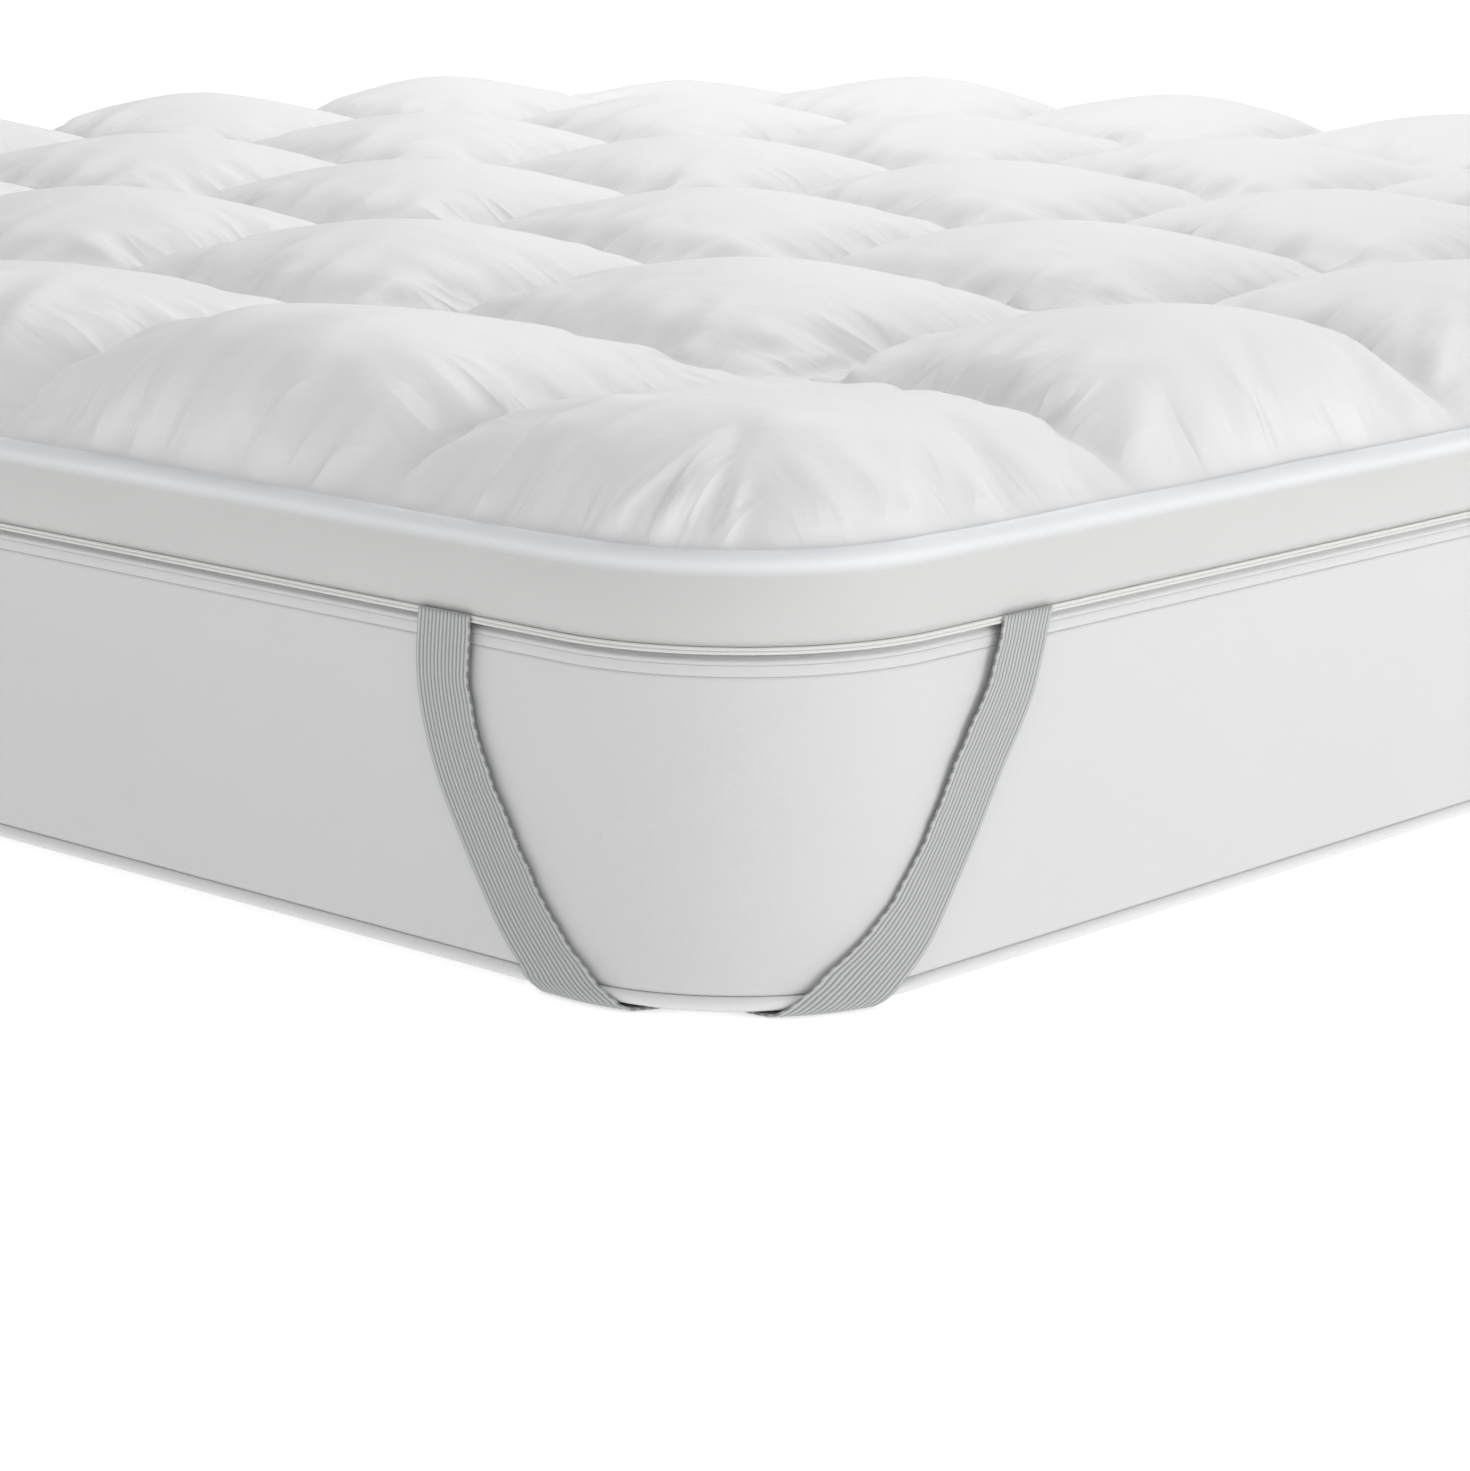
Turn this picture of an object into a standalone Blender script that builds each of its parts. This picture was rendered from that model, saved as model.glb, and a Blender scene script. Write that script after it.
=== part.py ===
"""Quilted mattress topper with corner elastics, on a plain mattress.

Metres, +Z up. The origin is on the surface that the mattress lies on, under its middle.
X runs across the bed and Y runs along it.
"""
import math

import bmesh
import bpy
from mathutils import Vector

GAP = 0.0003                  # clearance between two pieces that touch

# The mattress, plain
MATTRESS_HEIGHT = 0.200
MATTRESS_INSET = 0.006        # how far its tape edges stay inside the topper's border
MATTRESS_BULGE = 0.003        # how far its sides swell past the tape edges

# The topper
TOPPER_WIDTH = 1.942
TOPPER_LENGTH = 2.042
CORNER_RADIUS = 0.140
ARC_STEPS = 10                # facets in each rounded corner of a ring

BORDER_TOP = 0.2537
BORDER_THICKNESS = 0.0025
BORDER_ROLL = 0.010           # radius of the rolled upper edge
ROLL_STEPS = 4
BORDER_LIP = 0.0128           # how far in the roll reaches
LIP_DROP = 0.0006             # how far the roll turns down at its inner edge
LIP_THICKENING = 0.0002
BINDING_HEIGHT = 0.004
BINDING_DEPTH = 0.0032
BINDING_PROUD = 0.0012
BINDING_GROOVE = 0.0004       # how proud the groove between its two ridges stays

# The quilting: six pillows each way, the outer columns a little narrower than the rest
CELLS = 6
OUTER_COLUMN = 0.297
GRID_STEPS = 8                # quads across one pillow
SEAM_CROWDING = 0.06          # draws the grid lines towards the seams
PAD_EDGE_INSET = 0.0136       # where the quilted top meets the rolled edge
PAD_EDGE_HEIGHT = 0.2500
PAD_WALL_INSET = 0.0035
PAD_TUCK = 0.0030             # how far the pad's edge first slips under the roll
PAD_TUCK_RISE = 0.0004
SEAM_RISE = 0.035             # how far the seams climb from the border inwards
SEAM_RISE_REACH = 0.12
CROWN_HEIGHT = 0.047          # pillow crest above its seams
CROWN_BLUNTNESS = 1.67        # 2 is a plain arch, more is flatter on top
CROWN_FULLNESS = 0.757        # under 1 is fuller, with steeper flanks
BORDER_SWELL = 0.48           # how much more the pillows swell right by the border
CREST_SHIFT = 0.70            # under 1 moves the crests of the outer pillows towards the border
CORNER_CROWN = 0.455          # crown of the four corner pillows, as a share of the others

# The elastics
STRAP_WIDTH = 0.040
STRAP_THICKNESS = 0.0016
STRAP_SUBSTEPS = 2            # stretches between two rows of the route
STRAP_ACROSS = 3
STRAP_SLANT_LIMIT = 1.1       # the steepest slant that still widens a level section
RUN_STATIONS = (0.30, 0.50, 0.70)   # sections of the run under the mattress
RUN_DRAW = 0.016              # how far the middle of the run is drawn in from the corner
RECESS_DEPTH = 0.0028         # the dent that an elastic presses into the underside
RECESS_CORNER_SIDE = 0.017    # how far the dent reaches to each side of the line between the run's ends
RECESS_INNER_SIDE = 0.041
RECESS_REACH = 0.050          # past each end of the run

MATTRESS_OUTLINE = (TOPPER_WIDTH / 2 - MATTRESS_INSET, TOPPER_LENGTH / 2 - MATTRESS_INSET,
                    CORNER_RADIUS - MATTRESS_INSET)
TOPPER_OUTLINE = (TOPPER_WIDTH / 2, TOPPER_LENGTH / 2, CORNER_RADIUS)

# The two tape edges of the mattress
# columns: name, inset of the middle, height of the middle, half depth, half height
TAPES = (
    ("mattress_bottom_tape", 0.0005, 0.0090, 0.0040, 0.0040),
    ("mattress_top_tape", 0.0012, 0.1905, 0.0022, 0.0030),
)
TAPE_STEPS = 8

# Section of the mattress, from the foot up
# columns: inset from the mattress outline, height
MATTRESS_SECTION = (
    (0.0140, 0.0000),
    (0.0060, 0.0030),
    (0.0050, 0.0050),
    (0.0050, 0.0135),
    (0.0008, 0.0145),
    (0.0000, 0.0200),
    (-0.8 * MATTRESS_BULGE, 0.0600),
    (-MATTRESS_BULGE, 0.1000),
    (-0.8 * MATTRESS_BULGE, 0.1400),
    (0.0000, 0.1800),
    (0.0006, 0.1865),
    (0.0040, 0.1870),
    (0.0040, 0.1940),
    (0.0008, 0.1945),
    (0.0020, 0.1985),
    (0.0060, MATTRESS_HEIGHT),
)

# Route of one elastic round its corner of the mattress, from the end side to the long side
# columns: place along the mattress outline from the middle of the corner, height,
#          distance out from the outline, lean (0 faces outward, 1 faces down)
STRAP_ROUTE = (
    (-0.1891, 0.2042, 0.0086, 0.0),
    (-0.1917, 0.1650, 0.0080, 0.0),
    (-0.1815, 0.1250, 0.0073, 0.0),
    (-0.1605, 0.0850, 0.0066, 0.0),
    (-0.1345, 0.0450, 0.0059, 0.0),
    (-0.1080, 0.0150, 0.0053, 0.0),
    (-0.0990, 0.0070, 0.0046, 0.3),
    (-0.0930, 0.0026, 0.0015, 0.7),
    (-0.0850, 0.0013, -0.0060, 1.0),
    (0.0355, 0.0013, -0.0060, 1.0),
    (0.0440, 0.0026, 0.0015, 0.7),
    (0.0515, 0.0070, 0.0046, 0.3),
    (0.0610, 0.0150, 0.0053, 0.0),
    (0.0930, 0.0450, 0.0059, 0.0),
    (0.1225, 0.0850, 0.0066, 0.0),
    (0.1475, 0.1250, 0.0073, 0.0),
    (0.1725, 0.1650, 0.0080, 0.0),
    (0.1850, 0.2042, 0.0086, 0.0),
)
UNDER_RUN = 8                 # the row where the run under the mattress starts

CORNERS = (
    ("near_right", 1, -1),
    ("far_right", 1, 1),
    ("far_left", -1, 1),
    ("near_left", -1, -1),
)


def clear_scene():
    for old in list(bpy.data.objects):
        bpy.data.objects.remove(old, do_unlink=True)


def make_material(name, colour, roughness):
    material = bpy.data.materials.new(name)
    material.use_nodes = True
    shader = material.node_tree.nodes["Principled BSDF"]
    shader.inputs["Base Color"].default_value = (*colour, 1.0)
    shader.inputs["Roughness"].default_value = roughness
    shader.inputs["Metallic"].default_value = 0.0
    return material


def finish_object(name, bm, material):
    bmesh.ops.recalc_face_normals(bm, faces=bm.faces[:])
    if bm.calc_volume(signed=True) < 0:
        bmesh.ops.reverse_faces(bm, faces=bm.faces[:])
    mesh = bpy.data.meshes.new(name)
    bm.to_mesh(mesh)
    bm.free()
    mesh.materials.append(material)
    mesh.shade_smooth()
    mesh.set_sharp_from_angle(angle=math.radians(60))
    obj = bpy.data.objects.new(name, mesh)
    bpy.context.scene.collection.objects.link(obj)
    return obj


# ---------------------------------------------------------------- rounded outline

def ring_stations(outline):
    """Points of a rounded rectangle, anticlockwise, each with its outward direction."""
    half_x, half_y, radius = outline
    stations = []
    for quarter, (sign_x, sign_y) in enumerate(((1, 1), (-1, 1), (-1, -1), (1, -1))):
        centre = Vector((sign_x * (half_x - radius), sign_y * (half_y - radius), 0))
        for step in range(ARC_STEPS + 1):
            angle = (quarter + step / ARC_STEPS) * math.pi / 2
            outward = Vector((math.cos(angle), math.sin(angle), 0))
            stations.append((centre + outward * radius, outward))
    return stations


def place_loop(verts, layer, stations, inset, height):
    for vert in verts:
        point, outward = stations[vert[layer]]
        vert.co = point - outward * inset
        vert.co.z = height


def swept_wall(bm, outline, section):
    """Sweeps a section of (inset, height) rows round an outline and returns its end loops."""
    stations = ring_stations(outline)
    layer = bm.verts.layers.int.new("station")
    verts = [bm.verts.new() for _ in stations]
    for index, vert in enumerate(verts):
        vert[layer] = index
    place_loop(verts, layer, stations, *section[0])
    loop = [bm.edges.new((verts[i - 1], verts[i])) for i in range(len(verts))]
    first = loop
    for inset, height in section[1:]:
        grown = bmesh.ops.extrude_edge_only(bm, edges=loop)["geom"]
        loop = [item for item in grown if isinstance(item, bmesh.types.BMEdge)]
        place_loop([item for item in grown if isinstance(item, bmesh.types.BMVert)],
                   layer, stations, inset, height)
    return first, loop


def make_ring(name, outline, section, material):
    """A closed ring: the section is swept round the outline and joined up to itself."""
    bm = bmesh.new()
    first, last = swept_wall(bm, outline, section)
    bmesh.ops.bridge_loops(bm, edges=first + last)
    return finish_object(name, bm, material)


def oval_section(centre_inset, centre_height, half_depth, half_height):
    turns = [2 * math.pi * step / TAPE_STEPS for step in range(TAPE_STEPS)]
    return [(centre_inset + half_depth * math.cos(turn), centre_height + half_height * math.sin(turn))
            for turn in turns]


# ---------------------------------------------------------------- topper

def border_section():
    """The band's wall, rolled inward at the top, at an even thickness."""
    roll_height = BORDER_TOP - BORDER_ROLL
    foot = MATTRESS_HEIGHT + BINDING_HEIGHT + GAP
    outside = [(0.0, foot)]
    inside = [(BORDER_THICKNESS, foot)]
    for step in range(ROLL_STEPS + 1):
        turn = step / ROLL_STEPS * math.pi / 2
        for face, radius in ((outside, BORDER_ROLL), (inside, BORDER_ROLL - BORDER_THICKNESS)):
            face.append((BORDER_ROLL - radius * math.cos(turn), roll_height + radius * math.sin(turn)))
    outside.append((BORDER_LIP, BORDER_TOP - LIP_DROP))
    inside.append((BORDER_LIP, BORDER_TOP - BORDER_THICKNESS - LIP_THICKENING))
    return outside + inside[::-1]


def binding_section():
    """Two fine ridges, one over the other, along the border's foot."""
    foot = MATTRESS_HEIGHT
    ridge = BINDING_HEIGHT / 4
    back = BINDING_DEPTH - BINDING_PROUD
    return ((back, foot), (0.0, foot), (-BINDING_PROUD, foot + ridge), (-BINDING_GROOVE, foot + 2 * ridge),
            (-BINDING_PROUD, foot + 3 * ridge), (0.0, foot + 4 * ridge), (back, foot + 4 * ridge))


def column_edges(total, outer):
    """Seam places across the pad, measured from its middle."""
    inner = (total - 2 * outer) / (CELLS - 2)
    edges = [-total / 2 + outer + inner * index for index in range(CELLS - 1)]
    return [-total / 2] + edges + [total / 2]


def cell_place(edges, share):
    """Turns a share of the way across the grid into a place and its pillow's number and share."""
    count = share * CELLS
    cell = min(int(count + 1e-6), CELLS - 1)
    part = count - cell
    part -= SEAM_CROWDING * math.sin(2 * math.pi * part)
    return edges[cell] + part * (edges[cell + 1] - edges[cell]), cell, part


def crown_arch(cell, part):
    """Height of the arch across one pillow, from 0 at its seams to 1 at its crest."""
    if cell == 0:
        part = max(part, 0.0) ** CREST_SHIFT
    if cell == CELLS - 1:
        part = 1 - max(1 - part, 0.0) ** CREST_SHIFT
    return max(1 - abs(2 * part - 1) ** CROWN_BLUNTNESS, 0.0)


def rise(distance):
    """How far up the seams are at this distance from the border, from 0 to 1."""
    return 1 - (1 - min(max(distance, 0) / SEAM_RISE_REACH, 1)) ** 2


def pad_height(from_side, from_end, column, part_x, row, part_y):
    inland = rise(from_side) * rise(from_end)
    crown = CROWN_HEIGHT * (crown_arch(column, part_x) * crown_arch(row, part_y)) ** CROWN_FULLNESS
    if column in (0, CELLS - 1) and row in (0, CELLS - 1):
        crown *= CORNER_CROWN
    return PAD_EDGE_HEIGHT + SEAM_RISE * inland + crown * (1 + BORDER_SWELL * (1 - inland))


def round_corner(x, y, half_x, half_y, radius):
    """Draws a point of the square-cornered grid into the rounded outline."""
    over_x = abs(x) - (half_x - radius)
    over_y = abs(y) - (half_y - radius)
    if over_x <= 0 or over_y <= 0:
        return x, y
    draw = max(over_x, over_y) / math.hypot(over_x, over_y)
    return (math.copysign(half_x - radius + over_x * draw, x),
            math.copysign(half_y - radius + over_y * draw, y))


def outward_at(point, half_x, half_y, radius):
    over = Vector((abs(point.x) - (half_x - radius), abs(point.y) - (half_y - radius), 0))
    if min(over.x, over.y) <= 0:
        over = Vector((1, 0, 0)) if over.x > over.y else Vector((0, 1, 0))
    outward = over.normalized()
    return Vector((math.copysign(outward.x, point.x), math.copysign(outward.y, point.y), 0))


def make_pad(material):
    """The quilted pad: one filled solid, crowned between its sewn channels, flat underneath."""
    half_x = TOPPER_WIDTH / 2 - PAD_EDGE_INSET
    half_y = TOPPER_LENGTH / 2 - PAD_EDGE_INSET
    radius = CORNER_RADIUS - PAD_EDGE_INSET
    columns = column_edges(2 * half_x, OUTER_COLUMN - PAD_EDGE_INSET)
    rows = column_edges(2 * half_y, (TOPPER_LENGTH / CELLS) - PAD_EDGE_INSET)
    bm = bmesh.new()
    bmesh.ops.create_grid(bm, x_segments=CELLS * GRID_STEPS, y_segments=CELLS * GRID_STEPS, size=0.5)
    for vert in bm.verts:
        x, column, part_x = cell_place(columns, vert.co.x + 0.5)
        y, row, part_y = cell_place(rows, vert.co.y + 0.5)
        height = pad_height(half_x - abs(x), half_y - abs(y), column, part_x, row, part_y)
        vert.co = (*round_corner(x, y, half_x, half_y, radius), height)
    wall = (
        (PAD_EDGE_INSET - PAD_TUCK, PAD_EDGE_HEIGHT + PAD_TUCK_RISE),
        (PAD_WALL_INSET, BORDER_TOP - BORDER_ROLL),
        (PAD_WALL_INSET, MATTRESS_HEIGHT + GAP),
    )
    loop = [edge for edge in bm.edges if edge.is_boundary]
    before = PAD_EDGE_INSET
    for inset, height in wall:
        grown = bmesh.ops.extrude_edge_only(bm, edges=loop)["geom"]
        loop = [item for item in grown if isinstance(item, bmesh.types.BMEdge)]
        edge_outline = (TOPPER_WIDTH / 2 - before, TOPPER_LENGTH / 2 - before, CORNER_RADIUS - before)
        for vert in (item for item in grown if isinstance(item, bmesh.types.BMVert)):
            vert.co += outward_at(vert.co, *edge_outline) * (before - inset)
            vert.co.z = height
        before = inset
    bmesh.ops.contextual_create(bm, geom=loop)
    return finish_object("quilted_pad", bm, material)


# ---------------------------------------------------------------- elastics

def outline_place(along, out):
    """A point by the corner at +X -Y, this far out from the mattress outline."""
    half_x, half_y, radius = MATTRESS_OUTLINE
    arc = radius * math.pi / 4
    centre = Vector((half_x - radius, -half_y + radius, 0))
    turn = -math.pi / 4 + max(-arc, min(along, arc)) / radius
    outward = Vector((math.cos(turn), math.sin(turn), 0))
    straight = Vector((0, max(along - arc, 0), 0)) + Vector((min(along + arc, 0), 0, 0))
    return centre + straight + outward * (radius + out)


def smooth_rows(rows, substeps):
    """A smooth curve through the rows, with this many stretches between each pair."""
    result = []
    for index in range(len(rows) - 1):
        before = rows[max(index - 1, 0)]
        start = rows[index]
        end = rows[index + 1]
        after = rows[min(index + 2, len(rows) - 1)]
        for step in range(substeps):
            share = step / substeps
            result.append([
                (2 * b + (c - a) * share + (2 * a - 5 * b + 4 * c - d) * share ** 2
                 + (3 * b - a - 3 * c + d) * share ** 3) / 2
                for a, b, c, d in zip(before, start, end, after)])
    return result + [list(rows[-1])]


def strap_loops(rows, side):
    """Sections of the elastic, level with the mattress edge, as loops of points.

    side is 1 where the corner lies ahead along the outline, and -1 where it lies behind.
    """
    loops = []
    for index, (along, height, out, lean) in enumerate(rows):
        behind = rows[max(index - 1, 0)]
        ahead = rows[min(index + 1, len(rows) - 1)]
        climb = math.hypot(ahead[1] - behind[1], ahead[2] - behind[2])
        slant = min(abs(ahead[0] - behind[0]) / climb, STRAP_SLANT_LIMIT)
        half_span = STRAP_WIDTH / 2 * math.hypot(1, slant)
        turn = lean * math.pi / 2
        loop = []
        for face in (-1, 1):
            lift = face * STRAP_THICKNESS / 2
            for step in range(STRAP_ACROSS + 1):
                share = face * (1 - 2 * step / STRAP_ACROSS)
                reach = out + lift * math.cos(turn)
                point = outline_place(along + side * share * half_span, reach)
                point.z = height - lift * math.sin(turn)
                loop.append(point)
        loops.append(loop)
    return loops


def run_loops(start, end):
    """Sections of the run under the mattress, square to the line between its ends."""
    first = outline_place(start[0], start[2])
    last = outline_place(end[0], end[2])
    ahead = (last - first).normalized()
    to_corner = Vector((ahead.y, -ahead.x, 0))
    loops = []
    for station in RUN_STATIONS:
        centre = first.lerp(last, station) - to_corner * RUN_DRAW * math.sin(math.pi * station)
        loop = []
        for face in (-1, 1):
            for step in range(STRAP_ACROSS + 1):
                share = face * (1 - 2 * step / STRAP_ACROSS)
                point = centre + to_corner * share * STRAP_WIDTH / 2
                point.z = start[1] - face * STRAP_THICKNESS / 2
                loop.append(point)
        loops.append(loop)
    return loops


def make_strap(name, mirror, material):
    """One elastic: sewn over the binding on both sides of a corner, passing under the mattress."""
    end_side = smooth_rows(STRAP_ROUTE[:UNDER_RUN + 1], STRAP_SUBSTEPS)
    long_side = smooth_rows(STRAP_ROUTE[UNDER_RUN + 1:], STRAP_SUBSTEPS)
    bm = bmesh.new()
    rings = []
    for loop in strap_loops(end_side, 1) + run_loops(end_side[-1], long_side[0]) + strap_loops(long_side, -1):
        verts = [bm.verts.new((point.x * mirror[0], point.y * mirror[1], point.z)) for point in loop]
        rings.append([bm.edges.new((verts[i - 1], verts[i])) for i in range(len(verts))])
    for before, after in zip(rings, rings[1:]):
        bmesh.ops.bridge_loops(bm, edges=before + after)
    bmesh.ops.contextual_create(bm, geom=rings[0])
    bmesh.ops.contextual_create(bm, geom=rings[-1])
    return finish_object(name, bm, material)


# ---------------------------------------------------------------- mattress

def strap_dent(name, mirror):
    """A cutter along the run of one elastic under the mattress."""
    start = outline_place(*STRAP_ROUTE[UNDER_RUN][0:3:2])
    end = outline_place(*STRAP_ROUTE[UNDER_RUN + 1][0:3:2])
    run = end - start
    to_corner = Vector((run.y, -run.x, 0)).normalized()
    middle = (start + end) / 2 + to_corner * (RECESS_CORNER_SIDE - RECESS_INNER_SIDE) / 2
    turn = math.atan2(run.y * mirror[1], run.x * mirror[0])
    bpy.ops.mesh.primitive_cube_add(size=1)
    cutter = bpy.context.object
    cutter.name = name
    cutter.dimensions = (run.length + 2 * RECESS_REACH, RECESS_CORNER_SIDE + RECESS_INNER_SIDE, 2 * RECESS_DEPTH)
    cutter.location = (middle.x * mirror[0], middle.y * mirror[1], 0)
    cutter.rotation_euler = (0, 0, turn)
    cutter.hide_render = True
    cutter.display_type = "WIRE"
    return cutter


def make_mattress(material):
    """The plain mattress, with a dent in its underside for each elastic."""
    bm = bmesh.new()
    first, last = swept_wall(bm, MATTRESS_OUTLINE, MATTRESS_SECTION)
    bmesh.ops.contextual_create(bm, geom=first)
    bmesh.ops.contextual_create(bm, geom=last)
    body = finish_object("mattress_body", bm, material)
    for corner, sign_x, sign_y in CORNERS:
        dent = body.modifiers.new(f"dent_{corner}", "BOOLEAN")
        dent.operation = "DIFFERENCE"
        dent.object = strap_dent(f"dent_{corner}", (sign_x, -sign_y))
    return body


def main():
    clear_scene()
    quilt_cotton = make_material("quilt_cotton", (0.86, 0.86, 0.86), 0.55)
    border_cotton = make_material("border_cotton", (0.80, 0.80, 0.79), 0.60)
    binding_cotton = make_material("binding_cotton", (0.82, 0.81, 0.79), 0.60)
    elastic = make_material("elastic", (0.48, 0.49, 0.50), 0.70)
    mattress_cover = make_material("mattress_cover", (0.80, 0.80, 0.80), 0.65)
    mattress_tape = make_material("mattress_tape", (0.84, 0.84, 0.84), 0.50)

    make_pad(quilt_cotton)
    make_ring("border_band", TOPPER_OUTLINE, border_section(), border_cotton)
    make_ring("lower_binding", TOPPER_OUTLINE, binding_section(), binding_cotton)
    for corner, sign_x, sign_y in CORNERS:
        make_strap(f"elastic_{corner}", (sign_x, -sign_y), elastic)
    make_mattress(mattress_cover)
    for name, *oval in TAPES:
        make_ring(name, MATTRESS_OUTLINE, oval_section(*oval), mattress_tape)


main()
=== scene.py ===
"""Looks of a quilted mattress topper with corner elastics, lying on a plain mattress."""
import math
import random

import bmesh
import bpy
import numpy as np
from mathutils import Matrix, Vector


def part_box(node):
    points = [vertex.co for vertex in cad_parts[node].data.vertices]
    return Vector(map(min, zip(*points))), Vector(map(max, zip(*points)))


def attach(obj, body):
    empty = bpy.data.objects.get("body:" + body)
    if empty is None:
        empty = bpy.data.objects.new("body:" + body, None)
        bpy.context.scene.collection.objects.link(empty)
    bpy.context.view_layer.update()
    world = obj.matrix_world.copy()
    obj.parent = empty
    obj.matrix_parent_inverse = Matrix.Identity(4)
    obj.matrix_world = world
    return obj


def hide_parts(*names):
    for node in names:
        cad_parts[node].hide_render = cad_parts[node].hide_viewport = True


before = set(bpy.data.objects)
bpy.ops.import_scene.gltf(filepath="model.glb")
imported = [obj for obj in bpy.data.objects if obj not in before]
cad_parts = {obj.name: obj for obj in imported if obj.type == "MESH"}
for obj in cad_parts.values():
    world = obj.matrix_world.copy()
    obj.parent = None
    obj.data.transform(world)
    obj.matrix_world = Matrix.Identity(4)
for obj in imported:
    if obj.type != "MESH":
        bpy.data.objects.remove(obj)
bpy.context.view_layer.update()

# ---------------------------------------------------------------- sizes, from the frame

BORDER_LOW, BORDER_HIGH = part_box("border_band")
MATTRESS_LOW, MATTRESS_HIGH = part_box("mattress_body")
PAD_LOW, PAD_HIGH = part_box("quilted_pad")
BINDING_LOW, BINDING_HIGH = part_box("lower_binding")
BOTTOM_TAPE_LOW, BOTTOM_TAPE_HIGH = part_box("mattress_bottom_tape")
TOP_TAPE_LOW, TOP_TAPE_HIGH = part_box("mattress_top_tape")

TOPPER_CORNER = 0.140
MATTRESS_INSET = 0.006
TOPPER_OUTLINE = (BORDER_HIGH.x, BORDER_HIGH.y, TOPPER_CORNER)
MATTRESS_OUTLINE = (BORDER_HIGH.x - MATTRESS_INSET, BORDER_HIGH.y - MATTRESS_INSET,
                    TOPPER_CORNER - MATTRESS_INSET)
MATTRESS_TOP = MATTRESS_HIGH.z
BORDER_TOP = BORDER_HIGH.z

# Quilting
CELLS = 6
OUTER_COLUMN = 0.297
PAD_EDGE_INSET = 0.0136
PAD_EDGE_HEIGHT = 0.2500
PAD_WALL_INSET = 0.0035
SEAM_RISE = 0.035
SEAM_RISE_REACH = 0.12
CROWN_HEIGHT = 0.047
CROWN_BLUNTNESS = 1.67
CROWN_FULLNESS = 0.757
BORDER_SWELL = 0.48
CREST_SHIFT = 0.70
CORNER_CROWN = 0.455
SIM_STEPS = 24                # quads across one pillow while it is filled

# Elastics
STRAP_WIDTH = 0.040
STRAP_THICKNESS = 0.0016
STRAP_RIBS = 14
STRAP_RIB_HEIGHT = 0.0004
STRAP_EDGE_WAVE = 0.03
STRAP_SLANT_LIMIT = 1.1
RIB_POINTS = 4 * STRAP_RIBS + 1
RUN_TURN = 0.35               # share of the run in which its sections turn square to it
RUN_DRAW = 0.016              # how far the middle of the run is drawn in from the corner
DENT_CORNER_SIDE = 0.017
DENT_INNER_SIDE = 0.041
UNDER_RUN = 8
STRAP_ROUTE = (               # place along the outline, height, distance out, lean
    (-0.1891, 0.2042, 0.0086, 0.0),
    (-0.1917, 0.1650, 0.0080, 0.0),
    (-0.1815, 0.1250, 0.0073, 0.0),
    (-0.1605, 0.0850, 0.0066, 0.0),
    (-0.1345, 0.0450, 0.0059, 0.0),
    (-0.1080, 0.0150, 0.0053, 0.0),
    (-0.0990, 0.0070, 0.0046, 0.3),
    (-0.0930, 0.0026, 0.0015, 0.7),
    (-0.0850, 0.0013, -0.0060, 1.0),
    (0.0355, 0.0013, -0.0060, 1.0),
    (0.0440, 0.0026, 0.0015, 0.7),
    (0.0515, 0.0070, 0.0046, 0.3),
    (0.0610, 0.0150, 0.0053, 0.0),
    (0.0930, 0.0450, 0.0059, 0.0),
    (0.1225, 0.0850, 0.0066, 0.0),
    (0.1475, 0.1250, 0.0073, 0.0),
    (0.1725, 0.1650, 0.0080, 0.0),
    (0.1850, 0.2042, 0.0086, 0.0),
)
CORNERS = (
    ("near_right", 1, -1),
    ("far_right", 1, 1),
    ("far_left", -1, 1),
    ("near_left", -1, -1),
)


# ---------------------------------------------------------------- camera

def add_camera():
    """Looks at the corner at +X -Y from just above the bed."""
    focal_share = 4197.7 / 1470
    yaw, pitch, roll = (math.radians(angle) for angle in (47.890, 12.950, 0.447))
    place = Vector((BORDER_HIGH.x + 1.3892, BORDER_LOW.y - 1.552, 0.6493))
    ahead = Vector((-math.cos(yaw) * math.cos(pitch), math.sin(yaw) * math.cos(pitch), -math.sin(pitch)))
    level = Vector((math.sin(yaw), math.cos(yaw), 0))
    up = level.cross(ahead)
    turn = Matrix.Rotation(-roll, 3, ahead)
    axes = Matrix((turn @ level, turn @ up, -ahead)).transposed()
    data = bpy.data.cameras.new("corner_view")
    data.sensor_width = 36
    data.lens = focal_share * data.sensor_width
    data.clip_end = 50
    camera = bpy.data.objects.new("corner_view", data)
    camera.matrix_world = Matrix.Translation(place) @ axes.to_4x4()
    bpy.context.scene.collection.objects.link(camera)
    bpy.context.scene.camera = camera


# ---------------------------------------------------------------- node helpers

def new_material(name):
    material = bpy.data.materials.new(name)
    material.use_nodes = True
    return material, material.node_tree, material.node_tree.nodes["Principled BSDF"]


def add_node(tree, kind, inputs=None, **settings):
    """Adds a node, sets its properties, and links or sets its inputs by name or number."""
    node = tree.nodes.new(kind)
    for key, value in settings.items():
        setattr(node, key, value)
    for key, value in (inputs or {}).items():
        socket = node.inputs[key]
        if isinstance(value, bpy.types.NodeSocket):
            tree.links.new(value, socket)
        else:
            socket.default_value = value
    return node


def math_node(tree, operation, first, second=0.0, third=0.0):
    return add_node(tree, "ShaderNodeMath", {0: first, 1: second, 2: third}, operation=operation).outputs[0]


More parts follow.
